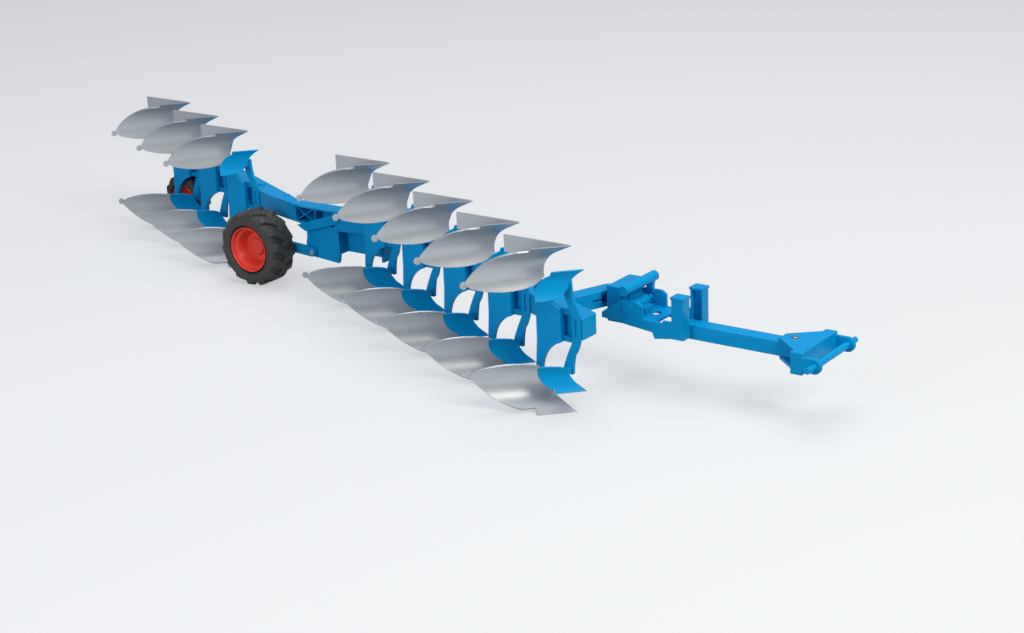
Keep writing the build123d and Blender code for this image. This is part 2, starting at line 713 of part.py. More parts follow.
def rim(near, width, radius, bore):
    """Deep dished rim: a barrel, a cone with one step, and a raised hub that is closed on its near side."""
    lip = radius - 2
    far = near + width
    deep = near + width / 2
    hub_near, hub_far = deep - hub_width / 2, deep + hub_width / 2
    step, foot, hub_edge = radius * step_share, radius * floor_share, radius * hub_share
    step_y = near + width / 5
    return turned([(radius, near + 1.5), (radius, far - 1.5), (lip, far - 1.5), (lip, hub_far), (bore, hub_far),
                   (bore, hub_near + hub_cap), (0, hub_near + hub_cap), (0, hub_near), (hub_edge, hub_near),
                   (hub_edge, deep), (foot, deep), (step, step_y), (lip, step_y), (lip, near + 1.5)])


main_axle, depth_spindle = Pos(wheel_x, 0, wheel_z), Pos(depth_x, 0, depth_z)
save("main_tyre", main_axle * tyre(tyre_near, tyre_width, wheel_radius, rim_radius + seat, lug_count, lug_length))
save("main_rim", main_axle * rim(tyre_near, tyre_width, rim_radius, axle_radius + run_gap))
save("depth_tyre", depth_spindle * tyre(depth_near, depth_width, depth_radius, depth_rim + seat, depth_lug_count,
                                        depth_lug_length))
save("depth_rim", depth_spindle * rim(depth_near, depth_width, depth_rim, depth_axle + run_gap))


# Wheel arm with its axle
def bar_between(x0, z0, x1, z1, y0, y1):
    """A flat bar with round ends between two axes along Y."""
    face = SlotCenterToCenter(hypot(x1 - x0, z1 - z0), 2 * arm_half)
    turn = degrees(atan2(z1 - z0, x1 - x0))
    return Pos((x0 + x1) / 2, y1, (z0 + z1) / 2) * Rot(90, 0, 0) * Rot(0, 0, turn) * extrude(face, y1 - y0)


axle_end = tyre_near + tyre_width / 2 - hub_width / 2 + hub_cap + play
wheel_arm = bar_between(wheel_x, wheel_z, pivot_x, pivot_z, arm_y, arm_y + arm_wall)
wheel_arm += rod_y(pivot_x, arm_y - 1.2, arm_y, pivot_z, boss_radius)
wheel_arm += rod_y(wheel_x, axle_end, arm_y, wheel_z, axle_radius)
wheel_arm -= rod_y(pivot_x, arm_y - 2 * arm_wall, arm_y + 2 * arm_wall, pivot_z, pivot_radius + run_gap)
save("wheel_arm", wheel_arm)

# Carrier under the straight stretch of beam
beam_low = -half - seat
carrier_rear = pivot_x - 2 * boss_radius
carrier_lines = [
    Line((carrier_rear, beam_low), (carrier_top, beam_low)),
    ThreePointArc((carrier_top, beam_low), (carrier_belly, (beam_low + pivot_z) / 2), (carrier_front, carrier_drop)),
    Line((carrier_front, carrier_drop), (pivot_x + boss_radius, pivot_z - 1.5 * boss_radius)),
    ThreePointArc((pivot_x + boss_radius, pivot_z - 1.5 * boss_radius), (pivot_x - boss_radius, pivot_z - boss_radius),
                  (carrier_rear, pivot_z + 3 * boss_radius)),
    Line((carrier_rear, pivot_z + 3 * boss_radius), (carrier_rear, beam_low)),
]
carrier = Pos(0, carrier_y + carrier_wall, 0) * Rot(90, 0, 0) * extrude(make_face(Curve() + carrier_lines),
                                                                       carrier_wall)
strap_slope = (strap_high - strap_low) / (strap_front - strap_rear)
strap_near, strap_far = near_face - strap_wall, near_face - seat
strap_foot = strap_rear + strap_width
strap_end = strap_foot + (beam_low - strap_low + strap_width / 2) / strap_slope
carrier += side([(strap_rear, strap_low), (strap_front, strap_high), (strap_front, strap_high - strap_width),
                 (strap_foot, strap_low - strap_width / 2)], strap_near, strap_far)
carrier += side([(strap_rear, strap_low), (strap_rear + (beam_low - strap_low) / strap_slope, beam_low),
                 (strap_end, beam_low), (strap_foot, strap_low - strap_width / 2)], strap_near, carrier_y + carrier_wall)
hanger = box(carrier_top, hanger_front, carrier_y, jog_y + half, hanger_drop, beam_low)
hanger -= box(carrier_front + hanger_wall, hanger_front - hanger_wall, carrier_y - 1, jog_y + half - hanger_wall,
              hanger_drop - 1, -half - hanger_wall)
carrier += hanger
carrier -= rod_y(pivot_x, 0, 2 * jog_y, pivot_z, pivot_radius + seat)
save("wheel_carrier", carrier)
save("arm_pivot", rod_y(pivot_x, arm_y - 1.2, carrier_y + carrier_wall, pivot_z, pivot_radius))

# Depth wheel's bracket under the rear beam, with its axle
depth_end = depth_near + depth_width / 2 - hub_width / 2 + hub_cap + play
bracket_plate = box(depth_x - depth_boss, depth_x + depth_boss, fork_y, fork_y + depth_wall, depth_z, -half - seat)
bracket_plate += rod_y(depth_x, fork_y, fork_y + depth_wall, depth_z, depth_boss)
bracket_plate += rod_y(depth_x, depth_end, fork_y, depth_z, depth_axle)
save("depth_wheel_bracket", bracket_plate)
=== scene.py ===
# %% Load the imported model
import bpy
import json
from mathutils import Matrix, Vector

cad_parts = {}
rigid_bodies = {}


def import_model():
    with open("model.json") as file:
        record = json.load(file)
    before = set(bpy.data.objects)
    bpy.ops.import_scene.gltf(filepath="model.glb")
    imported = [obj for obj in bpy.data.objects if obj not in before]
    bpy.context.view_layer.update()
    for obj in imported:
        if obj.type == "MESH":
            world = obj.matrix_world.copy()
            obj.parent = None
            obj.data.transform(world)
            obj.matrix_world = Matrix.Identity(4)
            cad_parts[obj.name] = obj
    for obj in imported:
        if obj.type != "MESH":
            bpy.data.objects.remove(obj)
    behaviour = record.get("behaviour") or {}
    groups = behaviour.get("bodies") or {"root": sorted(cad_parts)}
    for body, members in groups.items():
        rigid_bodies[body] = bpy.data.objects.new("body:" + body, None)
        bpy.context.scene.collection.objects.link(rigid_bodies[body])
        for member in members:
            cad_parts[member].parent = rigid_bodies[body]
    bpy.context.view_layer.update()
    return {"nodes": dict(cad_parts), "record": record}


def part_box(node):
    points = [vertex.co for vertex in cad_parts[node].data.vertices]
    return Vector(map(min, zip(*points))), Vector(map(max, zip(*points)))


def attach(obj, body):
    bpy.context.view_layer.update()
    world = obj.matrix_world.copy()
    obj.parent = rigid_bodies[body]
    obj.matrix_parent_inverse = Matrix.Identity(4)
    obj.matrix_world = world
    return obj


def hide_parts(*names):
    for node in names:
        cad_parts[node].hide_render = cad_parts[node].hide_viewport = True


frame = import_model()
print("nodes in the packed model:", len(frame["nodes"]))

# %% [markdown]
# This lesson dresses a toy reversible plough for a studio picture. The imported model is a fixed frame: it
# gives every piece its place and the body that it moves with. A node whose shape is right gets a moulded
# finish, and a node whose shape needs more is replaced by a finer surface in the same place. All work is
# done in millimetres from the point of the first share, halfway between the two rows of bodies, and is
# turned into metres at the last moment, so the numbers stay as readable as on a drawing.

# %% Tools
import json
from math import radians

import bmesh
import bpy
import numpy as np
from mathutils import Matrix

# %% Units and the place of the first share point
MM = 0.001                   # one millimetre in Blender's metres
LEG_FRONT = -14.2            # front edge of a leg, from its share point
LEG_SIDE = 1.52              # right face of a leg, from its share point
HALF_HEIGHT = 62.0           # from the middle plane to the share points
STATIONS = 8                 # pairs of bodies along the beam


def share_point(number):
    """Share point of one body on the middle plane, in frame metres, read from its leg's box."""
    low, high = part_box(f"leg_{number}")
    return np.array([high[0] - LEG_FRONT * MM, low[1] - LEG_SIDE * MM, (low[2] + high[2]) / 2])


START = share_point(1)
tips = [(share_point(n) - START) / MM for n in range(1, STATIONS + 1)]


def in_frame(points):
    """Millimetres from the first share point to metres in the frame: point times 0.001, plus START."""
    return np.asarray(points, float) * MM + START


print("share points, mm:", [tuple(np.round(t[:2], 1)) for t in tips])

# %% [markdown]
# The camera comes first, because every later choice is judged through it. It could be moved by eye until
# the picture fits, but the even spacing of the bodies gives its place, its turn and its lens by sums. The
# three columns of its matrix are its right, its up and the opposite of its view direction.

# %% Camera
CAMERA_AT = (726.1, -1062.6, 457.3)
YAW, PITCH, ROLL = radians(36.31), radians(19.09), radians(-2.46)
FOCAL_PIXELS = 1940.0        # focal length, in pixels of the picture
IMAGE_WIDTH = 1024.0
SENSOR = 36.0
FAR_CLIP = 20.0

forward = np.array([-np.sin(YAW) * np.cos(PITCH), np.cos(YAW) * np.cos(PITCH), -np.sin(PITCH)])
sideways = np.array([np.cos(YAW), np.sin(YAW), 0.0])
upright = np.cross(sideways, forward)
right = np.cos(ROLL) * sideways + np.sin(ROLL) * upright
up = -np.sin(ROLL) * sideways + np.cos(ROLL) * upright
camera_data = bpy.data.cameras.new("photo_camera")
camera_data.sensor_width = SENSOR
camera_data.lens = FOCAL_PIXELS * SENSOR / IMAGE_WIDTH
camera_data.clip_end = FAR_CLIP
camera = bpy.data.objects.new("photo_camera", camera_data)
pose = np.eye(4)
pose[:3, :3] = np.stack([right, up, -forward], axis=1)
pose[:3, 3] = in_frame(CAMERA_AT)
camera.matrix_world = Matrix(pose.tolist())
bpy.context.scene.collection.objects.link(camera)
bpy.context.scene.camera = camera
bpy.context.scene.view_settings.view_transform = "Standard"
print("lens, mm:", round(camera_data.lens, 1))

# %% [markdown]
# Moulded plastic is never one flat colour. The pigment drifts by a few percent, some patches come out of the
# mould duller than others, and the steel leaves a very fine grain. Painting this on each piece would take a
# picture per piece. Three noises on Object coordinates do it for all of them, so they sit in one node group
# that each material places with its own values.

# %% Shared effect: moulded skin
DRIFT_SCALE, DRIFT_DETAIL = 22.0, 3.0        # slow change of colour
BLOTCH_SCALE, BLOTCH_DETAIL = 140.0, 4.0     # duller and shinier patches
GRAIN_DETAIL = 2.0
GRAIN_DEEP = 0.0001                          # height of the grain at full strength, in metres
MIDDLE = 0.5                                 # the noises swing about this value


def moulded_skin():
    """Node group: slow noise mixes two colours, finer noise varies the roughness, finest noise is a bump."""
    group = bpy.data.node_groups.new("moulded_skin", "ShaderNodeTree")
    nodes, links = group.nodes, group.links
    for way, sockets in (("INPUT", (("Color", "Color"), ("Shade", "Color"), ("Roughness", "Float"),
                                    ("Spread", "Float"), ("Grain", "Float"), ("Depth", "Float"))),
                         ("OUTPUT", (("Color", "Color"), ("Roughness", "Float"), ("Normal", "Vector")))):
        for name, kind in sockets:
            group.interface.new_socket(name=name, in_out=way, socket_type=f"NodeSocket{kind}")
    entry, leave = nodes.new("NodeGroupInput"), nodes.new("NodeGroupOutput")
    coords = nodes.new("ShaderNodeTexCoord")

    def noise(detail):
        node = nodes.new("ShaderNodeTexNoise")
        node.inputs["Detail"].default_value = detail
        links.new(coords.outputs["Object"], node.inputs["Vector"])
        return node

    drift, blotch, grain = noise(DRIFT_DETAIL), noise(BLOTCH_DETAIL), noise(GRAIN_DETAIL)
    drift.inputs["Scale"].default_value = DRIFT_SCALE
    blotch.inputs["Scale"].default_value = BLOTCH_SCALE
    links.new(entry.outputs["Grain"], grain.inputs["Scale"])
    mix = nodes.new("ShaderNodeMix")
    mix.data_type = "RGBA"
    links.new(drift.outputs["Fac"], mix.inputs["Factor"])
    links.new(entry.outputs["Color"], mix.inputs["A"])
    links.new(entry.outputs["Shade"], mix.inputs["B"])
    links.new(mix.outputs["Result"], leave.inputs["Color"])
    centred, spread = nodes.new("ShaderNodeMath"), nodes.new("ShaderNodeMath")
    centred.operation, spread.operation = "SUBTRACT", "MULTIPLY_ADD"
    centred.inputs[1].default_value = MIDDLE
    links.new(blotch.outputs["Fac"], centred.inputs[0])
    links.new(centred.outputs[0], spread.inputs[0])
    links.new(entry.outputs["Spread"], spread.inputs[1])
    links.new(entry.outputs["Roughness"], spread.inputs[2])
    links.new(spread.outputs[0], leave.inputs["Roughness"])
    bump = nodes.new("ShaderNodeBump")
    bump.inputs["Distance"].default_value = GRAIN_DEEP
    links.new(entry.outputs["Depth"], bump.inputs["Strength"])
    links.new(grain.outputs["Fac"], bump.inputs["Height"])
    links.new(bump.outputs["Normal"], leave.inputs["Normal"])
    return group


SKIN = moulded_skin()
print("moulded skin:", len(SKIN.nodes), "nodes")

# %% [markdown]
# The toy has five finishes: dyed blue and red plastic, silver plastic with metal flakes, soft black tyres
# and plain steel pins. Five separate node trees could hold them, but they differ only in their values, so
# one function makes them all. What is the same all over a surface, its share of metal and its gloss, is set
# on the shader itself.

# %% From values to a finish


def plastic(name, color, shade, roughness, spread, grain, depth, metallic=0.0, gloss=0.5):
    """A Principled material whose colour, roughness and normal come from the moulded skin."""
    material = bpy.data.materials.new(name)
    material.use_nodes = True
    nodes, links = material.node_tree.nodes, material.node_tree.links
    shader = nodes["Principled BSDF"]
    skin = nodes.new("ShaderNodeGroup")
    skin.node_tree = SKIN
    for socket, value in (("Color", (*color, 1)), ("Shade", (*shade, 1)), ("Roughness", roughness),
                          ("Spread", spread), ("Grain", grain), ("Depth", depth)):
        skin.inputs[socket].default_value = value
    for given, taken in (("Color", "Base Color"), ("Roughness", "Roughness"), ("Normal", "Normal")):
        links.new(skin.outputs[given], shader.inputs[taken])
    shader.inputs["Metallic"].default_value = metallic
    shader.inputs["Specular IOR Level"].default_value = gloss
    material.diffuse_color = (*color, 1)
    return material


# %% The five finishes
BLUE = plastic("blue_moulding", (0.0, 0.26, 0.60), (0.0, 0.23, 0.55),
               roughness=0.40, spread=0.10, grain=2600, depth=0.10, gloss=0.10)
SILVER = plastic("silver_moulding", (0.43, 0.45, 0.50), (0.37, 0.39, 0.44),
                 roughness=0.33, spread=0.10, grain=3200, depth=0.08, metallic=0.45)
RED = plastic("red_moulding", (0.76, 0.056, 0.036), (0.69, 0.046, 0.030),
              roughness=0.34, spread=0.08, grain=2600, depth=0.06, gloss=0.3)
RUBBER = plastic("tyre_rubber", (0.020, 0.021, 0.023), (0.032, 0.033, 0.036),
                 roughness=0.62, spread=0.18, grain=1800, depth=0.35)
STEEL = plastic("pin_steel", (0.52, 0.53, 0.54), (0.44, 0.45, 0.46),
                roughness=0.30, spread=0.12, grain=2200, depth=0.10, metallic=1.0)
FINISH = {"blue_plastic": BLUE, "silver_plastic": SILVER, "red_plastic": RED, "tyre_rubber": RUBBER,
          "pin_steel": STEEL}
SLOT_OF = {s["node"]: s["material_slot"] for s in frame["record"]["subparts"]}
BODY_OF = {node: body for body, members in frame["record"]["behaviour"]["bodies"].items() for node in members}
for node_name, node_object in frame["nodes"].items():
    node_object.data.materials.clear()
    node_object.data.materials.append(FINISH[SLOT_OF[node_name]])
print("nodes of each finish:", {slot: list(SLOT_OF.values()).count(slot) for slot in FINISH})

# %% [markdown]
# Every new piece is a mesh made from whole arrays: one array of points, and arrays of faces, each of which
# holds faces with the same number of corners. Blender's own primitives could be added and pulled into shape,
# but then the sizes would hide in many small moves. The helper below puts the arrays into Blender, gives the
# piece its finish, and names the body that it rides on. The points keep their place in the mesh and the
# object stays at the origin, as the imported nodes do, so a pattern on Object coordinates runs on from piece
# to piece.

# %% From arrays to a piece
SHARP_ANGLE = 35.0           # degrees between two faces from which their edge counts as sharp
BEVEL_STEPS = 2


def make_piece(name, points, faces, node):
    """Mesh object from points in millimetres and arrays of faces; body and slot are those of its CAD node."""
    mesh = bpy.data.meshes.new(name)
    mesh.from_pydata(in_frame(points).tolist(), [], [face for block in faces for face in block.tolist()])
    mesh.materials.append(FINISH[SLOT_OF[node]])
    mesh.polygons.foreach_set("use_smooth", np.ones(len(mesh.polygons), bool))
    mesh.update()
    piece = bpy.data.objects.new(name, mesh)
    bpy.context.scene.collection.objects.link(piece)
    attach(piece, BODY_OF[node])
    return piece


def grid_faces(rows, columns, wrap=False, turned=False):
    """Quads of a grid stored row by row: a point, the next in its row, and the same two of the next row.

    wrap joins the last column to the first one, and turned joins the last row to the first.
    """
    r, c = np.meshgrid(np.arange(rows if turned else rows - 1), np.arange(columns if wrap else columns - 1),
                       indexing="ij")
    r2, c2 = (r + 1) % rows, (c + 1) % columns
    corners = (r * columns + c, r * columns + c2, r2 * columns + c2, r2 * columns + c)
    return np.stack(corners, axis=-1).reshape(-1, 4)


def fan_faces(ring, centre):
    """Triangles that close a ring of point numbers: the centre, a ring point and the next one."""
    return np.stack([np.full(len(ring), centre), ring, np.roll(ring, -1)], axis=1)


def bevelled(piece, width, angle=SHARP_ANGLE):
    """Round the sharp edges with a Bevel modifier whose width is in millimetres."""
    bevel = piece.modifiers.new("soft_edge", "BEVEL")
    bevel.width = width * MM
    bevel.segments = BEVEL_STEPS
    bevel.limit_method = "ANGLE"
    bevel.angle_limit = radians(angle)
    bevel.harden_normals = True
    return piece


print("faces of a 3 by 4 grid, open and wrapped:", len(grid_faces(3, 4)), len(grid_faces(3, 4, wrap=True)))

# %% [markdown]
# A mouldboard lifts what the share cuts and turns it over, so its shape is a ruled surface: straight level
# lines at 45 degrees to the travel, carried over a section that is flat at the share and then curls
# forward, more loosely towards the tail. Modelling it by hand would take many loop cuts and would never be
# quite fair. A formula in two parameters, the run along the edge and the height, gives it exactly.

# %% The mouldboard's surface
RULING = radians(45.0)
SHARE_SLOPE = radians(33.0)
KNEE_HEIGHT = 6.0                     # up to here the section is straight
CURL_FIRST, CURL_LAST = 17.5, 22.5    # radius of the curl at the first and the last run
RUN_FIRST, RUN_LAST = -14.0, 79.1
ALONG = np.array([-np.cos(RULING), -np.sin(RULING)])
BACK = np.array([-np.sin(RULING), np.cos(RULING)])


def curl_at(run):
    """Radius of the curl: it grows evenly from CURL_FIRST at RUN_FIRST to CURL_LAST at RUN_LAST."""
    return CURL_FIRST + (CURL_LAST - CURL_FIRST) * (run - RUN_FIRST) / (RUN_LAST - RUN_FIRST)


def section_depth(height, curl):
    """Depth behind the share's edge: height over tan(slope) up to the knee, then a circle of radius curl."""
    centre_depth = KNEE_HEIGHT / np.tan(SHARE_SLOPE) - curl * np.sin(SHARE_SLOPE)
    centre_height = KNEE_HEIGHT + curl * np.cos(SHARE_SLOPE)
    arc = centre_depth + np.sqrt(np.maximum(curl ** 2 - (height - centre_height) ** 2, 0.0))
    return np.where(height < KNEE_HEIGHT, height / np.tan(SHARE_SLOPE), arc)


def ruled(run, height, depth):
    """Points at run along the edge: run times ALONG plus depth times BACK in plan, and the height."""
    plan = run[..., None] * ALONG + depth[..., None] * BACK
    return np.concatenate([plan, height[..., None]], axis=-1)


def on_board(run, height):
    """Points of the mouldboard's surface, whose depth is the section's at that run and height."""
    return ruled(run, height, section_depth(height, curl_at(run)))


HEIGHTS = np.array([10.0, 20.0, 30.0])
print("depth of the last section at", HEIGHTS, "mm:", np.round(section_depth(HEIGHTS, CURL_LAST), 2))

# %% [markdown]
# The real board's outline is a few fair curves: a long belly, a rounded crown and a blunt tail. They could be
# splines pulled by hand, but three measured points give each of them as a circle. The grid of the surface is
# then stretched between the lower and the upper border, so the edge of the mesh is the edge of the board.

# %% Curves for a border, and the grid between two borders


def arc_through(a, b, c, count):
    """Points of the circle through three points of a plane, from a by way of b to c, even in angle.

    Its centre x solves 2 (b - a) . x = b . b - a . a, and the same with c for b.
    """
    a, b, c = (np.array(v, float) for v in (a, b, c))
    matrix = 2 * np.array([b - a, c - a])
    centre = np.linalg.solve(matrix, np.array([b @ b - a @ a, c @ c - a @ a]))
    angle = np.unwrap([np.arctan2(*(v - centre)[::-1]) for v in (a, b, c)])
    sweep = np.linspace(angle[0], angle[2], count)
    return centre + np.hypot(*(a - centre)) * np.stack([np.cos(sweep), np.sin(sweep)], axis=1)


def spaced(points, count):
    """Even steps of length along a broken line: interpolation of its points over their running length."""
    points = np.asarray(points, float)
    length = np.concatenate([[0], np.cumsum(np.hypot(*np.diff(points, axis=0).T))])
    steps = np.linspace(0, length[-1], count)
    return np.stack([np.interp(steps, length, points[:, k]) for k in range(2)], axis=1)


def end_to_end(lines, counts):
    """One line from several that meet: each in its own count of even steps, shared points kept once."""
    steps = [spaced(line, count) for line, count in zip(lines, counts)]
    return np.vstack([steps[0], *(step[1:] for step in steps[1:])])


def between(lower, upper, rows):
    """Run and height of rows that mix both borders: (1 - v) times the lower plus v times the upper."""
    v = np.linspace(0, 1, rows)[:, None, None]
    mixed = (1 - v) * lower[None] + v * upper[None]
    return mixed[..., 0], mixed[..., 1]


print("middle of a quarter circle:", np.round(arc_through((1, 0), (0.8, 0.6), (0, 1), 3)[1], 3))

# %% Outline of a mouldboard, in run and height
SEAM = 4.0                            # height of the seam between share and board
HEEL, BELLY, TAIL = (39.4, SEAM), (62.0, 14.0), (74.6, 27.0)
SHIN, SHOULDER, CROWN, CROWN_END = (16.0, 26.0), (23.5, 31.2), (49.0, 34.4), (70.0, 31.0)
TAIL_BLUNT = 0.6                      # height of the tail's blunt end
OUTLINE_STEPS, BOARD_COLUMNS, BOARD_ROWS = 24, 49, 15
SHIN_FADE = 5                         # power with which the shift at the shin fades out

lower_arc = arc_through(HEEL, BELLY, TAIL, OUTLINE_STEPS)
crown_arc = arc_through(CROWN_END, CROWN, SHOULDER, OUTLINE_STEPS)[::-1]
lower_border = np.vstack([[[SEAM / np.tan(SHARE_SLOPE), SEAM]], lower_arc])
upper_border = np.vstack([[SHIN], crown_arc, [[TAIL[0], TAIL[1] + TAIL_BLUNT]]])


def board_sheet():
    """Grid between both borders, whose first column is moved along the run into the plane of the landside.

    In that plane the run equals the section's depth, because the ruling lies at 45 degrees. The shift fades
    out with the fifth power of the distance from the shin.
    """
    lower, upper = spaced(lower_border, BOARD_COLUMNS), spaced(upper_border, BOARD_COLUMNS)
    run, height = between(lower, upper, BOARD_ROWS)
    shin = section_depth(height[:, :1], curl_at(run[:, :1]))
    u = np.linspace(0, 1, BOARD_COLUMNS)[None]
    run = run + (shin - run[:, :1]) * (1 - u) ** SHIN_FADE
    return on_board(run, height).reshape(-1, 3)


print("a board is", round(TAIL[0] - SHIN[0], 1), "mm long and", round(CROWN[1] - SEAM, 1), "mm high")

# %% [markdown]
# At the tail each board ends in a small round ear. A separate flat disc would stand off the curl, so the
# ear is laid on the same formula, as circles of growing radius in run and height, a hair behind the board.

# %% The ear at the tail
EAR, EAR_RUN, EAR_UP, EAR_BEHIND = 2.6, 75.2, 28.5, 0.7
EAR_RINGS, EAR_SPOKES = 4, 28


def ear_grid():
    """On the board, run = EAR_RUN + r cos a and height = EAR_UP + r sin a; rings, and a fan to the centre."""
    radius = np.linspace(0.0, 1.0, EAR_RINGS + 1)[1:, None] * EAR
    angle = np.linspace(0, 2 * np.pi, EAR_SPOKES, endpoint=False)[None]
    rings = on_board(EAR_RUN + radius * np.cos(angle), EAR_UP + radius * np.sin(angle)).reshape(-1, 3)
    points = np.vstack([rings, on_board(np.array([EAR_RUN]), np.array([EAR_UP]))])
    points[:, :2] += EAR_BEHIND * BACK
    fan = fan_faces(np.arange(EAR_SPOKES), len(rings))
    return points, [grid_faces(EAR_RINGS, EAR_SPOKES, wrap=True)[:, ::-1], fan[:, ::-1]]


ear_points, ear_faces = ear_grid()
print("one ear:", len(ear_points), "points")

# %% [markdown]
# The toy's boards are thin shells of one thickness. A second surface could be offset by hand, but a Solidify
# modifier gives the wall, away from the working side, and a fine Bevel makes the light rim that moulded
# sheet shows along every edge. The lower bodies are the upper ones mirrored in the middle plane. Mirroring
# turns a surface inside out, so their faces are listed the other way round.

# %% From a sheet to the sixteen mouldboards
BOARD_WALL, BOARD_EDGE = 1.3, 0.22
SHELL_SHARP = 50.0
LEVELS = (("lower", -1), ("upper", 1))


def shell_piece(name, points, faces, tip, level, wall, node, edge):
    """Shell from a sheet: z is level times (HALF_HEIGHT - height), then come Solidify and Bevel."""
    points = points.copy()
    points[:, 2] = level * (HALF_HEIGHT - points[:, 2])
    points += tip
    piece = make_piece(name, points, faces if level > 0 else [block[:, ::-1] for block in faces], node)
    solid = piece.modifiers.new("wall", "SOLIDIFY")
    solid.thickness = wall * MM
    solid.offset = -1.0
    return bevelled(piece, edge, SHELL_SHARP)


sheet_points = board_sheet()
board_points = np.vstack([sheet_points, ear_points])
board_faces = [grid_faces(BOARD_ROWS, BOARD_COLUMNS), *[block + len(sheet_points) for block in ear_faces]]
for level_name, level_sign in LEVELS:
    for index, tip in enumerate(tips, 1):
        node_name = f"{level_name}_mouldboard_{index}"
        board = shell_piece(f"{node_name}_shell", board_points, board_faces, tip, level_sign,
                            BOARD_WALL, node_name, BOARD_EDGE)
        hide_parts(node_name)
print("one mouldboard:", len(board_points), "points")

# %% [markdown]
# The beams, legs, brackets, shares and the hitch are plain moulded blocks, and their CAD shapes are right.
# Only the edges are not: a mould never gives a knife-sharp edge, and a sharp edge catches no light. Rounding
# them in CAD would cost thousands of faces. Here a copy of each node is merged, its flat facets are joined,
# and a small Bevel rounds what is left, wide on a beam and fine on a share.

# %% Width of each node's rounded edge, in millimetres
EDGES = {
    "front_beam": 0.6, "mid_beam": 0.5, "rear_beam": 0.6, "swing_arm": 0.5, "bearing_block": 0.5,
    "yoke": 0.35, "drawbar": 0.5, "headstock": 0.4, "brackets": 0.35, "wheel_carrier": 0.3, "wheel_arm": 0.4,
    "cylinders": 0.3, "cylinder_link": 0.3, "turnover_shaft": 0.3, "hitch_shaft": 0.3,
    "depth_wheel_bracket": 0.3, "upper_shares": 0.15, "lower_shares": 0.15, "upper_landsides": 0.2,
    "lower_landsides": 0.2, "swing_pin": 0.3, "yoke_pin": 0.3, "steering_pin": 0.3, "arm_pivot": 0.3,
}
for index in range(1, STATIONS + 1):
    EDGES.update({f"leg_{index}": 0.4, f"skimmer_{index}": 0.2})
print("edges from", min(EDGES.values()), "to", max(EDGES.values()), "mm wide")

# %% Copies of the nodes with moulded edges
CAD_MERGE = 2e-6                      # metres within which two corners of a CAD mesh are one
FLAT_ANGLE = 0.6                      # degrees up to which two facets count as one flat face


def soft_copy(node, width):
    """Copy a CAD node, merge its loose triangles, join faces in one plane, and bevel what is sharp."""
    mesh = frame["nodes"][node].data.copy()
    work = bmesh.new()
    work.from_mesh(mesh)
    bmesh.ops.remove_doubles(work, verts=work.verts, dist=CAD_MERGE)
    bmesh.ops.dissolve_limit(work, angle_limit=radians(FLAT_ANGLE), verts=work.verts, edges=work.edges)
    work.to_mesh(mesh)
    work.free()
    mesh.polygons.foreach_set("use_smooth", np.ones(len(mesh.polygons), bool))
    mesh.set_sharp_from_angle(angle=radians(SHARP_ANGLE))
    piece = bpy.data.objects.new(f"{node}_moulded", mesh)
    bpy.context.scene.collection.objects.link(piece)
    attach(piece, BODY_OF[node])
    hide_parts(node)
    return bevelled(piece, width)


for node_name, edge_width in EDGES.items():
    soft_copy(node_name, edge_width)
print("blocks with moulded edges:", len(EDGES))

# %% [markdown]
# A wheel is turned, not drawn: one closed section, given as radius and sideways place, runs on a circle
# round the axle. Blender's Screw modifier would do that too, but as arrays the carcass of a tyre and its
# lugs can share one mesh. What meets on the axle is merged afterwards, so the hub has no double points.

# %% Turning a section about an axle
MERGE, SLIVER = 1e-6, 1e-7            # metres within which points are one, and below which an edge goes
RIM_SPOKES, CARCASS_SPOKES = 96, 120
EDGE_SHARE = 0.45                     # of an edge, the most that a rounded corner may take


def lathe(section, axle, spokes):
    """Turn a closed section about the axle: x = axle_x + r cos a, y = sideways, z = axle_z + r sin a."""
    angle = np.linspace(0, 2 * np.pi, spokes, endpoint=False)[:, None]
    radius, place = section[:, 0][None], section[:, 1][None]
    points = np.stack([axle[0] + radius * np.cos(angle), np.repeat(place, spokes, axis=0),
                       axle[1] + radius * np.sin(angle)], axis=-1).reshape(-1, 3)
    return points, grid_faces(spokes, len(section), wrap=True, turned=True)


def tidy(piece, angle=SHARP_ANGLE):
    """Merge what meets, turn all faces outwards, and mark the edges sharper than the angle."""
    work = bmesh.new()
    work.from_mesh(piece.data)
    bmesh.ops.remove_doubles(work, verts=work.verts, dist=MERGE)
    bmesh.ops.dissolve_degenerate(work, edges=work.edges, dist=SLIVER)
    bmesh.ops.recalc_face_normals(work, faces=work.faces)
    work.to_mesh(piece.data)
    work.free()
    piece.data.polygons.foreach_set("use_smooth", np.ones(len(piece.data.polygons), bool))
    piece.data.set_sharp_from_angle(angle=radians(angle))
    return piece


def rounded(points, radius, steps=4):
    """Round the corners of a closed section with the curve (1-t)^2 start + 2t(1-t) corner + t^2 end.

    Start and end lie at the radius from the corner, or at a share of the edge where that is less. A corner
    on the axle stays one point.
    """
    points = np.asarray(points, float)
    on_axle = points[:, :1] < MERGE

    def towards(other):
        length = np.linalg.norm(other - points, axis=1, keepdims=True)
        return points + (other - points) * np.where(on_axle, 0.0, np.minimum(radius / length, EDGE_SHARE))

    start, end = (towards(np.roll(points, turn, axis=0))[:, None] for turn in (1, -1))
    t = np.linspace(0, 1, steps)[None, :, None]
    curve = (1 - t) ** 2 * start + 2 * t * (1 - t) * points[:, None] + t ** 2 * end
    return curve[~on_axle | (np.arange(steps) == 0)]


SQUARE = ((1, 0), (2, 0), (2, 1), (1, 1))
print("a square ring with soft corners:", len(lathe(rounded(SQUARE, 0.1), (0, 0), 32)[0]), "points")

# %% [markdown]
# The toy's rims are one red moulding: a barrel for the tyre, a stepped cone like a real rim's well, a flat
# dish and a raised hub cap. They could be stacked from rings, but turned from one section they meet without
# a seam, and every corner gets the same small radius that the mould has.

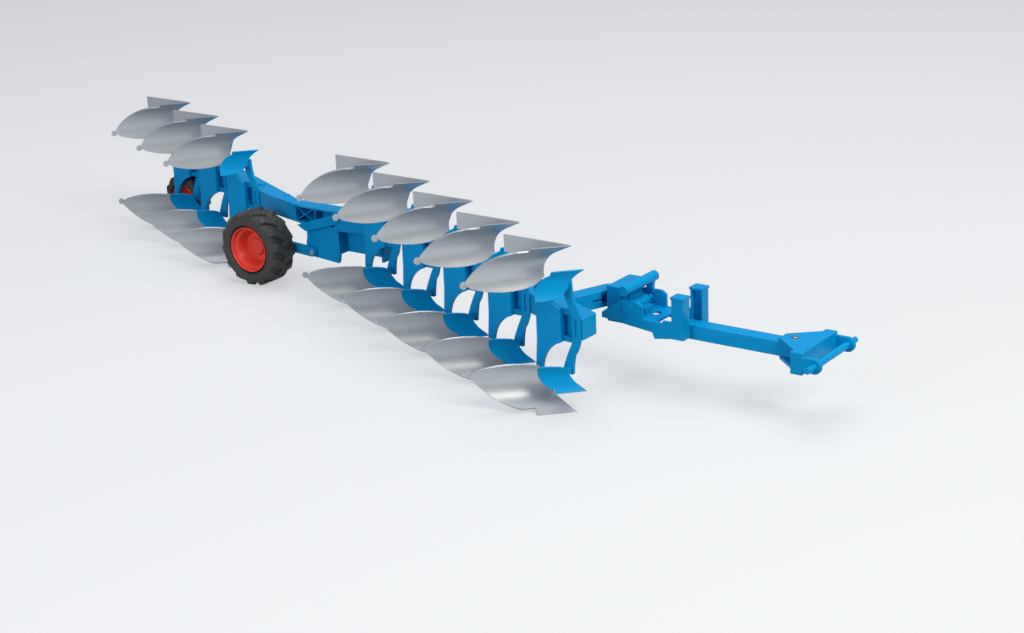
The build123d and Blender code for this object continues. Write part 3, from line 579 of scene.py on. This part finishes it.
# %% Rims
RIM_WALL = 2.0                        # between the barrel's outside and its inside
NEAR_EDGE, FAR_EDGE = 0.9, 1.5        # how far the barrel stays inside the tyre's sides
HUB_HALF, HUB_SINK, HUB_CROWN = 3.0, 1.4, 0.2
HUB_SHARE, FLOOR_SHARE = 0.36, 0.62   # of the radius: the hub's edge and the dish floor's
STEP_IN, STEP_OUT = 0.78, 0.81        # of the radius: the foot and the top of the step
STEP_PLACE = 5                        # the step lies at one part in five of the width
STEP_SOFT, STEP_CREST = 0.6, 0.2      # how far the step's foot and crest lie from its place
LIP_FOOT, LIP_SLOPE, LIP_NEAR = 0.1, 0.7, 1.1
RIM_ROUND, RIM_SHARP = 0.7, 50.0


def rim_section(near, width, radius, bore):
    """Barrel, far lip, hub, closed cap, dish floor, cone, step and near lip, as radius and sideways place."""
    far, deep, lip = near + width, near + width / 2, radius - RIM_WALL
    hub_near, hub_far, hub_edge = deep - HUB_HALF, deep + HUB_HALF, radius * HUB_SHARE
    step = near + width / STEP_PLACE
    return rounded([
        (radius, near + NEAR_EDGE), (radius, far - FAR_EDGE), (lip, far - FAR_EDGE),
        (lip, hub_far), (bore, hub_far), (bore, hub_near + HUB_SINK), (0.0, hub_near + HUB_SINK),
        (0.0, hub_near), (hub_edge, hub_near + HUB_CROWN), (hub_edge + STEP_SOFT, deep),
        (radius * FLOOR_SHARE, deep), (radius * STEP_IN, step + STEP_SOFT),
        (radius * STEP_OUT, step - STEP_CREST), (lip + LIP_FOOT, step - STEP_SOFT),
        (lip + LIP_SLOPE, near + LIP_NEAR)], RIM_ROUND)


MAIN_AXLE, MAIN_NEAR, MAIN_WIDTH, MAIN_RADIUS, MAIN_RIM = (-410.5, -29.0), 101.0, 28.5, 33.0, 20.0
DEPTH_AXLE, DEPTH_WIDTH, DEPTH_RADIUS, DEPTH_RIM = (-606.0, -38.0), 17.0, 24.0, 14.0
DEPTH_NEAR = (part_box("depth_tyre")[0][1] - START[1]) / MM
MAIN_BORE, DEPTH_BORE = 3.05, 2.05
for node_name, axle, near, width, radius, bore in (
        ("main_rim", MAIN_AXLE, MAIN_NEAR, MAIN_WIDTH, MAIN_RIM, MAIN_BORE),
        ("depth_rim", DEPTH_AXLE, DEPTH_NEAR, DEPTH_WIDTH, DEPTH_RIM, DEPTH_BORE)):
    points, faces = lathe(rim_section(near, width, radius, bore), axle, RIM_SPOKES)
    dish = tidy(make_piece(f"{node_name}_dish", points, [faces], node_name), RIM_SHARP)
    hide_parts(node_name)
    print(node_name, "points:", len(dish.data.vertices))

# %% [markdown]
# The body of a tyre under its tread is close to a superellipse: a box with very round corners. A plain ring
# would look like a washer, and a torus like a tube. The power of the formula sets how square the shoulders
# are, and two faint rings give the sidewalls the light lines of a real tyre.

# %% The carcass of a tyre
CARCASS_POWER, CARCASS_POINTS = 3.6, 56
SIDE_RINGS = ((2.2, 0.30), (5.0, 0.18))       # from the rim's edge outwards, and height
RING_WIDTH = 0.6


def carcass_section(near, width, crown, bore):
    """Closed superellipse |y/a|^n + |r/b|^n = 1, plus a bell curve of the radius for each sidewall ring."""
    t = np.linspace(0, 2 * np.pi, CARCASS_POINTS, endpoint=False)
    c, s = np.cos(t), np.sin(t)
    place = near + width / 2 + (width / 2) * np.sign(c) * np.abs(c) ** (2 / CARCASS_POWER)
    radius = (crown + bore) / 2 + (crown - bore) / 2 * np.sign(s) * np.abs(s) ** (2 / CARCASS_POWER)
    for ring, size in SIDE_RINGS:
        place += np.sign(c) * size * np.exp(-((radius - bore - ring) / RING_WIDTH) ** 2)
    return np.stack([radius, place], axis=1)


carcass_place = carcass_section(MAIN_NEAR, MAIN_WIDTH, MAIN_RADIUS, MAIN_RIM)[:, 1]
print("main carcass with its rings:", round(np.ptp(carcass_place), 2), "mm wide")

# %% [markdown]
# The lugs of such a tyre start near its middle, slant back and bend until they run straight across at the
# shoulder. A displaced texture would blur them, so each lug is a solid bar: a section of six corners carried
# along a curve that is wrapped round the tyre. The left row lies half a step behind the right one.

# %% One lug of the tread
LUG_STEPS, LUG_BEND = 12, 1.8                 # sections along a lug, and the power of its bend
LUG_START, LUG_SPAN = -0.05, 0.56             # of the tyre's width: where a lug starts, and how far it goes
SHOULDER_AT, SHOULDER_POWER = 0.62, 2.2       # from here on the lug falls, with this power
TOP_FALL, FOOT_FALL = 0.16, 0.20              # of the radius: how far its top and its foot fall
FOOT_DEEP, FOOT_WIDE = 1.6, 0.7               # how deep the foot lies in the carcass, and its extra width
LUG_SLIM, LUG_GROW = 0.8, 0.5                 # width at the start, and what it gains to the end
SIDE_GAP = 0.1                                # what a lug stays inside the tyre's sides
TOP_STRIPS = 3                                # equal strips across a lug's top
MAIN_LUG, DEPTH_LUG = (2.0, 9.5, 2.9), (1.6, 5.5, 2.0)    # height, sweep and half the width of its top


def tread_lug(side, turn, axle, near, width, radius, height, sweep, half_top):
    """One lug: along(u) = sweep (1 - (1 - u)^1.8) round the tyre, across(u) straight to the shoulder.

    u runs from 0 to 1. The six corners of each section lie square to that curve. Their top keeps the tyre's
    radius and falls at the shoulder with a power of 2.2; their foot lies inside the carcass.
    """
    crown = radius - height
    u = np.linspace(0, 1, LUG_STEPS)
    along = sweep * (1 - (1 - u) ** LUG_BEND)
    across = side * (LUG_START * width + LUG_SPAN * width * u)
    slope = np.stack([np.gradient(along), np.gradient(across)], axis=1)
    slope /= np.linalg.norm(slope, axis=1)[:, None]
    square = np.stack([-slope[:, 1], slope[:, 0]]) * side
    fall = radius * np.clip((u - SHOULDER_AT) / (1 - SHOULDER_AT), 0, 1) ** SHOULDER_POWER
    top, foot = radius - TOP_FALL * fall, crown - FOOT_DEEP - FOOT_FALL * fall
    half = half_top * (LUG_SLIM + LUG_GROW * u)
    inner = half / TOP_STRIPS
    offset = np.stack([-half - FOOT_WIDE, -half, -inner, inner, half, half + FOOT_WIDE])
    level = np.stack([foot, top, top, top, top, foot])
    edge = width / 2 - SIDE_GAP
    place = near + width / 2 + np.clip(across + square[1] * offset, -edge, edge)
    angle = turn + (along + square[0] * offset) / crown
    points = np.stack([axle[0] + level * np.cos(angle), place, axle[1] + level * np.sin(angle)], axis=-1)
    count = len(offset)
    ring = np.arange(count)[None]
    faces = [grid_faces(LUG_STEPS, count, wrap=True), ring[:, ::-1], ring + count * (LUG_STEPS - 1)]
    return points.transpose(1, 0, 2).reshape(-1, 3), faces


lug_points, lug_faces = tread_lug(1, 0.0, MAIN_AXLE, MAIN_NEAR, MAIN_WIDTH, MAIN_RADIUS, *MAIN_LUG)
print("one lug:", len(lug_points), "points,", sum(len(block) for block in lug_faces), "faces")

# %% [markdown]
# On the toy each tyre is one soft moulding, and so it is one mesh here: the carcass first, then both rows of
# lugs, each counted on from the last. The lugs' feet reach into the carcass, so no gap shows under them. A
# fine bevel takes the edge off the lugs, as wear and the mould do.

# %% Tyres
TYRE_SHARP, TYRE_EDGE = 40.0, 0.35
LUGS = 14                             # lugs in each row
ROW_SHIFT = 0.25                      # of a step, by which each row is turned from the middle


def joined(parts):
    """One array of points and one list of face arrays from several, each counted on from the last."""
    points, faces, count = [], [], 0
    for part_points, part_faces in parts:
        points.append(part_points)
        faces += [block + count for block in part_faces]
        count += len(part_points)
    return np.vstack(points), faces


def tyre_piece(node, axle, near, width, radius, bore, height, sweep, half_top):
    """Carcass and both rows of lugs; lug k is turned by a full turn times (k -+ ROW_SHIFT) / LUGS."""
    points, faces = lathe(carcass_section(near, width, radius - height, bore), axle, CARCASS_SPOKES)
    parts = [(points, [faces])]
    for side in (-1, 1):
        for k in range(LUGS):
            turn = 2 * np.pi * (k + ROW_SHIFT * side) / LUGS
            parts.append(tread_lug(side, turn, axle, near, width, radius, height, sweep, half_top))
    piece = tidy(make_piece(f"{node}_tread", *joined(parts), node), TYRE_SHARP)
    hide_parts(node)
    print(node, "points:", len(piece.data.vertices))
    return bevelled(piece, TYRE_EDGE, TYRE_SHARP)


tyre_piece("main_tyre", MAIN_AXLE, MAIN_NEAR, MAIN_WIDTH, MAIN_RADIUS, MAIN_RIM, *MAIN_LUG)
tyre_piece("depth_tyre", DEPTH_AXLE, DEPTH_NEAR, DEPTH_WIDTH, DEPTH_RADIUS, DEPTH_RIM, *DEPTH_LUG)

# %% [markdown]
# Each skimmer is a small mouldboard that goes ahead of the large one and takes off the top first. On the toy
# its blade stands almost upright at 45 degrees, hollow like a slice of a pipe, with a notch behind its
# straight edge. It could be cut from a tube, but the borders and the grid that made the large boards give
# its outline point by point.

# %% The skimmer's blade
BLADE_AT = (7.6, 1.7, 17.0)           # ahead of the share point, to the left, and towards the middle plane
BLADE_HIGH, BLADE_HOLLOW, BLADE_WALL, BLADE_EDGE = 20.5, 3.0, 1.2, 0.2
BLADE_ROWS = 13
LOWER_STEPS, UPPER_STEPS = (22, 4, 18), (18, 10, 16)      # along edge, notch, tail; shin, shoulder, top
TAIL_ARC, SHIN_ARC, TOP_ARC = 24, 20, 12      # points of the arcs before they are spaced
NOTCH_FOOT, NOTCH_TOP, TAIL_MIDDLE, TAIL_TOP = (22.9, 0), (23.7, 3.1), (31.6, 8.0), (35.1, 16.0)
SHIN_MIDDLE, SHIN_TOP, SHOULDER_MIDDLE = (8.2, 6.9), (12.2, 13.2), (14.9, 17.2)
TOP_START, TOP_MIDDLE, TOP_END = (20.0, 19.2), (27.5, 20.3), (35.1, 20.4)


def blade_depth(height):
    """Circle through the edge and the top: sqrt(R^2 - (h - H/2)^2) - (R - hollow)."""
    radius = ((BLADE_HIGH / 2) ** 2 + BLADE_HOLLOW ** 2) / (2 * BLADE_HOLLOW)
    return np.sqrt(radius ** 2 - (height - BLADE_HIGH / 2) ** 2) - (radius - BLADE_HOLLOW)


def blade_sheet():
    """Grid between the blade's lower border (edge, notch, tail) and its upper one (shin, shoulder, top)."""
    tail = arc_through(NOTCH_TOP, TAIL_MIDDLE, TAIL_TOP, TAIL_ARC)
    shin = arc_through((0, 0), SHIN_MIDDLE, SHIN_TOP, SHIN_ARC)
    shoulder = arc_through(SHIN_TOP, SHOULDER_MIDDLE, TOP_START, TOP_ARC)
    top = arc_through(TOP_START, TOP_MIDDLE, TOP_END, TOP_ARC)
    lower = end_to_end([[(0, 0), NOTCH_FOOT], [NOTCH_FOOT, NOTCH_TOP], tail], LOWER_STEPS)
    upper = end_to_end([shin, shoulder, top], UPPER_STEPS)
    run, height = between(lower, upper, BLADE_ROWS)
    return ruled(run, height, blade_depth(height)).reshape(-1, 3) + np.array(BLADE_AT)


blade_points = blade_sheet()
blade_faces = [grid_faces(BLADE_ROWS, len(blade_points) // BLADE_ROWS)]
print("one skimmer blade:", len(blade_points), "points")

# %% [markdown]
# The stem's curve is already right in the CAD node, so it is kept: the copied skimmer is cut by a plane just
# right of its stem, and the cut is closed. Modelling the stem anew would only copy it. A short web then ties
# each blade to the stem, as the rib behind the real one does.

# %% The stem without its CAD blades
CUT_CLEAR = 0.02                      # how far right of the blade's own place the cut lies


def without_blades(piece, tip):
    """Cut the copied skimmer just right of its stem, keep the stem and close the cut."""
    work = bmesh.new()
    work.from_mesh(piece.data)
    face = in_frame(tip + np.array([0.0, BLADE_AT[1] - CUT_CLEAR, 0.0]))
    everything = list(work.verts) + list(work.edges) + list(work.faces)
    bmesh.ops.bisect_plane(work, geom=everything, dist=MERGE, plane_co=face, plane_no=(0, -1, 0),
                           clear_outer=True)
    bmesh.ops.holes_fill(work, edges=[e for e in work.edges if e.is_boundary])
    bmesh.ops.recalc_face_normals(work, faces=work.faces)
    work.to_mesh(piece.data)
    work.free()
    piece.data.set_sharp_from_angle(angle=radians(SHARP_ANGLE))


for index, tip in enumerate(tips, 1):
    without_blades(bpy.data.objects[f"skimmer_{index}_moulded"], tip)
print("stems cut free:", STATIONS)

# %% Webs and blades
WEB_PLAN = np.array([(-5.2, 2.4), (-8.8, 2.4), (-8.8, -9.6), (-5.2, -6.0)])
WEB_HIGH, WEB_LOW = 28.2, 33.0        # below the share plane, as heights on the blade's side
WEB_EDGE = 0.3
BOX_FACES = [np.array([[3, 2, 1, 0], [4, 5, 6, 7], [0, 1, 5, 4], [1, 2, 6, 5], [2, 3, 7, 6], [3, 0, 4, 7]])]


def web(level, tip):
    """Plate behind the blade that ties it to its stem: four corners in plan, at two heights."""
    heights = sorted(level * (HALF_HEIGHT - h) for h in (WEB_HIGH, WEB_LOW))
    corners = [np.column_stack([WEB_PLAN, np.full(len(WEB_PLAN), z)]) for z in heights]
    return np.vstack(corners) + tip, BOX_FACES


for index, tip in enumerate(tips, 1):
    for level_name, level_sign in LEVELS:
        name = f"{level_name}_skimmer_blade_{index}"
        shell_piece(name, blade_points, blade_faces, tip, level_sign, BLADE_WALL, f"skimmer_{index}",
                    BLADE_EDGE)
        bevelled(tidy(make_piece(f"{name}_web", *web(level_sign, tip), f"skimmer_{index}")), WEB_EDGE)
print("skimmer blades:", len(LEVELS) * STATIONS)

# %% [markdown]
# Each bracket has a window, through which two round bolt heads show on the beam. They are too small for the
# solids. Half an icosphere would do, but a few rings near a quarter circle with a fan on top need only a
# hundred points, and sixteen such heads fit in one mesh.

# %% Bolt heads in the brackets
BEAM_ANGLE = np.arctan2(tips[1][1] - tips[0][1], tips[0][0] - tips[1][0])
BEAM_FRONT, BEAM_HALF = (5.0, 10.75), 8.0     # a point of the beam's middle line, and half its width
BOLT_AHEAD, BOLT_UP, BOLT_RADIUS, BOLT_HIGH = -10.75, 4.4, 1.7, 1.3
BOLT_SPOKES, BOLT_SUNK = 20, 0.4
BOLT_RINGS = np.array([(1.0, -BOLT_SUNK), (1.0, 0.45), (0.92, 0.7), (0.72, 0.9), (0.4, 1.0)])
OUTWARD = np.array([-np.sin(BEAM_ANGLE), -np.cos(BEAM_ANGLE), 0.0])
FACE_Y = BEAM_FRONT[1] - (BOLT_AHEAD - BEAM_FRONT[0]) * np.tan(BEAM_ANGLE) - BEAM_HALF / np.cos(BEAM_ANGLE)


def bolt_head(centre):
    """Round head: circles of BOLT_RINGS' radius and height along OUTWARD, closed by a fan at each end."""
    first = np.cross(OUTWARD, (0.0, 0.0, 1.0))
    second = np.cross(OUTWARD, first)
    angle = np.linspace(0, 2 * np.pi, BOLT_SPOKES, endpoint=False)[:, None]
    circle = (np.cos(angle) * first + np.sin(angle) * second) * BOLT_RADIUS
    out = OUTWARD * BOLT_HIGH
    rings = circle[None] * BOLT_RINGS[:, :1, None] + out * BOLT_RINGS[:, 1:, None]
    points = np.vstack([rings.reshape(-1, 3), out, -out * BOLT_SUNK]) + centre
    spokes = np.arange(BOLT_SPOKES)
    top, bottom = len(points) - 2, len(points) - 1
    return points, [grid_faces(len(BOLT_RINGS), BOLT_SPOKES, wrap=True),
                    fan_faces(spokes + top - BOLT_SPOKES, top), fan_faces(spokes[::-1], bottom)]


heads = [bolt_head(tip + np.array([BOLT_AHEAD, FACE_Y, z])) for tip in tips for z in (-BOLT_UP, BOLT_UP)]
tidy(make_piece("bolt_heads", *joined(heads), "brackets"))
print("bolt heads:", len(heads))

# %% [markdown]
# Behind the heads lies a flat plate that spreads their load, and it also closes the window. One thin box a
# bracket is enough; its fine bevel draws the light line round it.

# %% Washer plates
PLATE_HALF, PLATE_HIGH, PLATE_OUT, PLATE_EDGE = 4.6, 9.6, 0.5, 0.15
BEAM_ALONG = np.array([np.cos(BEAM_ANGLE), -np.sin(BEAM_ANGLE), 0.0])


def washer_plate(tip):
    """Thin plate under both heads: centre plus steps along the beam, up, and out from its near face."""
    steps = np.array([(-PLATE_HALF, -PLATE_HIGH), (PLATE_HALF, -PLATE_HIGH), (PLATE_HALF, PLATE_HIGH),
                      (-PLATE_HALF, PLATE_HIGH)])
    centre = tip + np.array([BOLT_AHEAD, FACE_Y, 0.0])
    face = centre + steps @ np.array([BEAM_ALONG, (0.0, 0.0, 1.0)])
    return np.vstack([face, face + OUTWARD * PLATE_OUT]), BOX_FACES


plates = tidy(make_piece("washer_plates", *joined([washer_plate(tip) for tip in tips]), "brackets"))
bevelled(plates, PLATE_EDGE)
print("washer plates:", STATIONS)

# %% [markdown]
# The pocket in the beam is stiffened by two crossing ribs. In the solid they would split the pocket into
# four small ones; as two flat bars they keep the same look. One starts a tenth of a millimetre deeper, so
# that their faces never lie in one plane.

# %% Crossing ribs
POCKET_REAR, POCKET_MIDDLE, POCKET_HALF, POCKET_NEAR, POCKET_FAR = -380.5, -359.7, 6.3, 134.5, 143.1
RIB_HALF, RIB_STEP = 0.35, 0.1


def bar(start, end, y_near):
    """Flat bar in X and Z from start to end: its corners lie RIB_HALF to both sides of the line."""
    start, end = np.array(start, float), np.array(end, float)
    line = (end - start) / np.linalg.norm(end - start)
    side = np.array([-line[1], line[0]]) * RIB_HALF
    flat = np.array([start - side, end - side, end + side, start + side])
    return np.vstack([np.insert(flat, 1, y, axis=1) for y in (y_near, POCKET_FAR)]), BOX_FACES


ribs = [bar((POCKET_REAR, -POCKET_HALF), (POCKET_MIDDLE, POCKET_HALF), POCKET_NEAR),
        bar((POCKET_REAR, POCKET_HALF), (POCKET_MIDDLE, -POCKET_HALF), POCKET_NEAR + RIB_STEP)]
tidy(make_piece("crossing_ribs", *joined(ribs), "mid_beam"))
print("crossing ribs:", len(ribs))

# %% [markdown]
# A studio is a pale floor and a few large soft lamps. The floor is not part of the toy. A white floor would
# throw its light up under the toy and wash the undersides out. Light Path tells who asks: the camera and
# reflections see it pale and even, and scattered light sees it dim.

# %% Floor
FLOOR_HALF = 9000.0
FLOOR_SEEN = (0.72, 0.74, 0.78, 1)            # for the camera and reflections
FLOOR_THROWN = (0.18, 0.26, 0.24, 1)          # for scattered light
FLOOR_GLOW, GLOW_SHARE = (0.79, 0.80, 0.83, 1), 0.6
FLOOR_ROUGH = 0.7


def pale_floor():
    """Material that the camera and reflections see pale and even, while it throws only a dim light back."""
    material = bpy.data.materials.new("pale_floor")
    material.use_nodes = True
    nodes, links = material.node_tree.nodes, material.node_tree.links
    shader, output = nodes["Principled BSDF"], nodes["Material Output"]
    shader.inputs["Roughness"].default_value = FLOOR_ROUGH
    kinds = ("LightPath", "Math", "Mix", "Math")
    path, seen, tint, share = (nodes.new(f"ShaderNode{kind}") for kind in kinds)
    seen.operation, share.operation, tint.data_type = "MAXIMUM", "MULTIPLY", "RGBA"
    links.new(path.outputs["Is Camera Ray"], seen.inputs[0])
    links.new(path.outputs["Is Glossy Ray"], seen.inputs[1])
    tint.inputs["A"].default_value = FLOOR_THROWN
    tint.inputs["B"].default_value = FLOOR_SEEN
    links.new(seen.outputs[0], tint.inputs["Factor"])
    links.new(tint.outputs["Result"], shader.inputs["Base Color"])
    glow, mix = nodes.new("ShaderNodeEmission"), nodes.new("ShaderNodeMixShader")
    glow.inputs["Color"].default_value = FLOOR_GLOW
    share.inputs[1].default_value = GLOW_SHARE
    links.new(path.outputs["Is Camera Ray"], share.inputs[0])
    links.new(share.outputs[0], mix.inputs["Fac"])
    links.new(shader.outputs["BSDF"], mix.inputs[1])
    links.new(glow.outputs["Emission"], mix.inputs[2])
    links.new(mix.outputs["Shader"], output.inputs["Surface"])
    return material


floor_mesh = bpy.data.meshes.new("floor")
corners = [(x * FLOOR_HALF, y * FLOOR_HALF, -HALF_HEIGHT) for x, y in ((-1, -1), (1, -1), (1, 1), (-1, 1))]
floor_mesh.from_pydata(in_frame(corners).tolist(), [], [(0, 1, 2, 3)])
floor_mesh.materials.append(pale_floor())
floor = bpy.data.objects.new("floor", floor_mesh)
bpy.context.scene.collection.objects.link(floor)
print("floor at", round(in_frame(corners)[0][2], 4), "m")

# %% [markdown]
# The main light comes from the right and above, as in the picture, one from above draws the tops of the
# beams, and a weak one in front fills the shade. A single sun would be quicker, but its shadows are hard;
# large squares give soft ones, as a studio's boxes do. The world only lifts the darkest places.

# %% World and lamps
WORLD_COLOR, WORLD_STRENGTH = (0.80, 0.83, 0.87, 1), 0.34
LAMP_AIM = np.array([-280.0, 100.0, 0.0])
DAYLIGHT, WARM = (1, 1, 1), (1.0, 0.99, 0.84)

world = bpy.data.worlds.new("studio")
world.use_nodes = True
world.node_tree.nodes["Background"].inputs["Color"].default_value = WORLD_COLOR
world.node_tree.nodes["Background"].inputs["Strength"].default_value = WORLD_STRENGTH
bpy.context.scene.world = world


def lamp(name, at, size, power, color):
    """Square area lamp, placed and sized in millimetres, whose back axis points away from LAMP_AIM."""
    data = bpy.data.lights.new(name, "AREA")
    data.size = size * MM
    data.energy = power
    data.color = color
    axis = np.array(at, float) - LAMP_AIM
    axis /= np.linalg.norm(axis)
    side = np.cross((0.0, 0.0, 1.0), axis)
    side /= np.linalg.norm(side)
    matrix = np.eye(4)
    matrix[:3, :3] = np.stack([side, np.cross(axis, side), axis], axis=1)
    matrix[:3, 3] = in_frame(at)
    lamp_object = bpy.data.objects.new(name, data)
    lamp_object.matrix_world = Matrix(matrix.tolist())
    bpy.context.scene.collection.objects.link(lamp_object)
    print("lamp", name, power, "W")


lamp("key", at=(1500.0, -350.0, 1300.0), size=900.0, power=36.0, color=WARM)
lamp("top", at=(-300.0, 500.0, 2000.0), size=1400.0, power=24.0, color=DAYLIGHT)
lamp("fill", at=(-300.0, -1900.0, 700.0), size=1200.0, power=18.0, color=DAYLIGHT)
